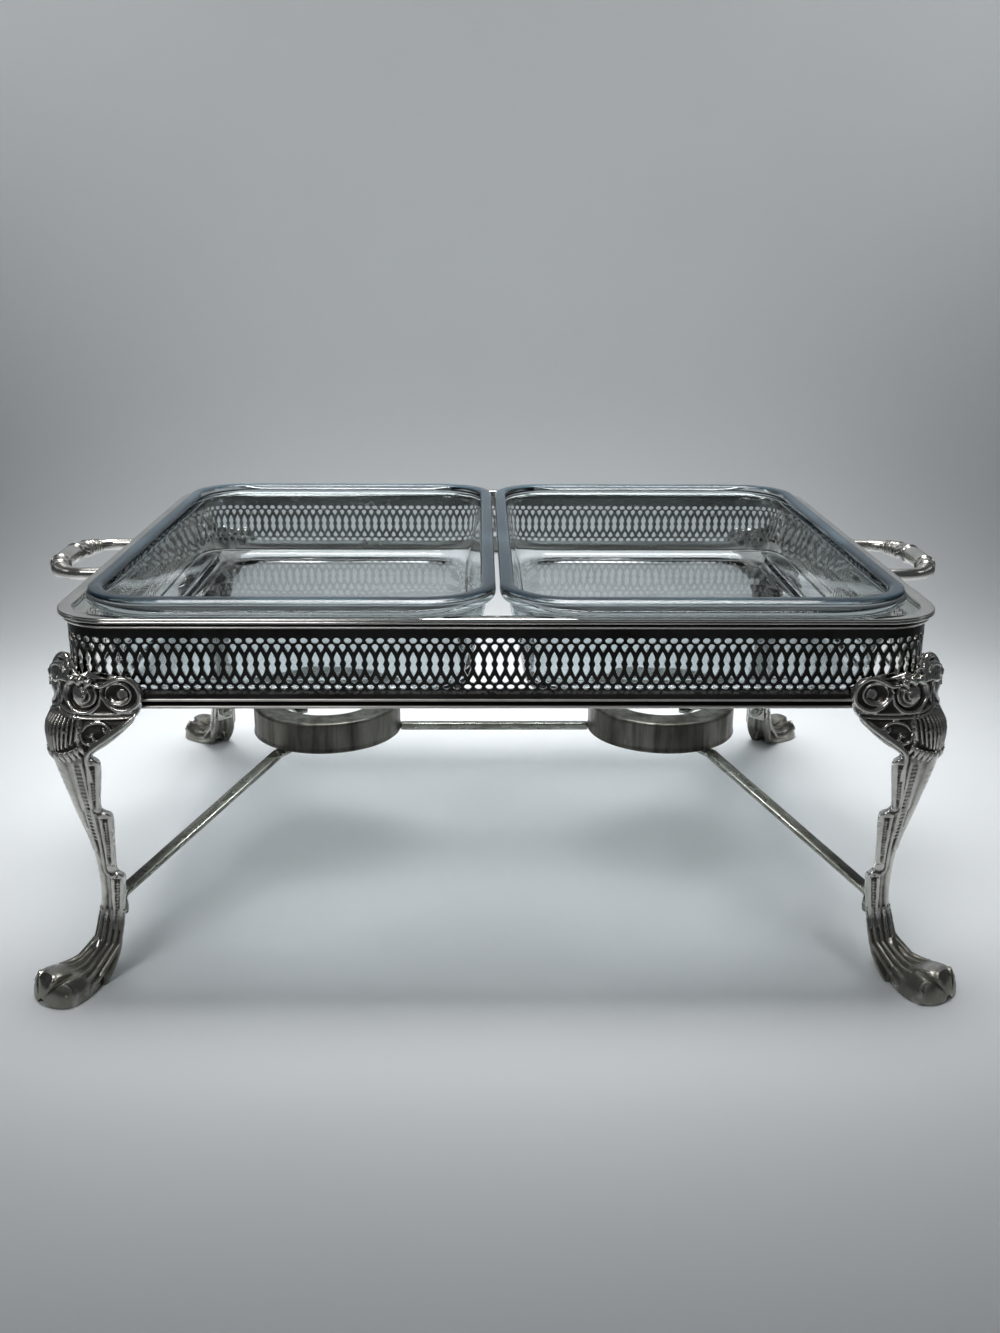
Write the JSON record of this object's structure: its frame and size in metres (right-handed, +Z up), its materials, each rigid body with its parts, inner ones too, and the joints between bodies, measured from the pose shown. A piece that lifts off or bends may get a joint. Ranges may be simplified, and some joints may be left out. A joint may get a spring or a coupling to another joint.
{
  "type": "two-dish food warmer",
  "caption": "Rectangular pierced metal food warmer on cabriole legs, with side handles, burner rings on stretchers and lift-out glass dishes.",
  "frame": {"origin": "on the floor, under the centre of the gallery", "axes": "+X along the long side to the viewer's right, +Y to the back, +Z up"},
  "size_m": [0.4572, 0.339, 0.1766],
  "materials": {
    "silver_plate": "polished silver plate, darkened in the recesses",
    "burner_metal": "dull nickel plate with heat stains",
    "screw_steel": "plain turned steel",
    "glass": "clear pressed heat-proof glass with a bluish rim"
  },
  "bodies": {
    "stand": {"band_corner_front_left": "silver_plate", "band_corner_front_right": "silver_plate", "band_corner_rear_left": "silver_plate", "band_corner_rear_right": "silver_plate", "band_front": "silver_plate", "band_left": "silver_plate", "band_rear": "silver_plate", "band_right": "silver_plate", "burner_ring_left": "burner_metal", "burner_ring_right": "burner_metal", "handle_left": "silver_plate", "handle_right": "silver_plate", "handle_screw_left_front": "screw_steel", "handle_screw_left_rear": "screw_steel", "handle_screw_right_front": "screw_steel", "handle_screw_right_rear": "screw_steel", "leg_front_left": "silver_plate", "leg_front_right": "silver_plate", "leg_rear_left": "silver_plate", "leg_rear_right": "silver_plate", "leg_screw_long_front_left": "screw_steel", "leg_screw_long_front_right": "screw_steel", "leg_screw_long_rear_left": "screw_steel", "leg_screw_long_rear_right": "screw_steel", "leg_screw_side_front_left": "screw_steel", "leg_screw_side_front_right": "screw_steel", "leg_screw_side_rear_left": "screw_steel", "leg_screw_side_rear_right": "screw_steel", "lower_moulding": "silver_plate", "stretcher_front_left": "burner_metal", "stretcher_front_right": "burner_metal", "stretcher_rear_left": "burner_metal", "stretcher_rear_right": "burner_metal", "stretcher_screw_front_left": "screw_steel", "stretcher_screw_front_right": "screw_steel", "stretcher_screw_rear_left": "screw_steel", "stretcher_screw_rear_right": "screw_steel", "tie_bar": "burner_metal", "top_rim": "silver_plate"},
    "dish_left": {"glass_dish_left": "glass"},
    "dish_right": {"glass_dish_right": "glass"}
  },
  "joints": [
    {"name": "dish_left_lift", "type": "slide", "parent": "stand", "child": "dish_left", "axis": [0, 0, 1], "range_m": [0, 0.12]},
    {"name": "dish_right_lift", "type": "slide", "parent": "stand", "child": "dish_right", "axis": [0, 0, 1], "range_m": [0, 0.12]}
  ]
}
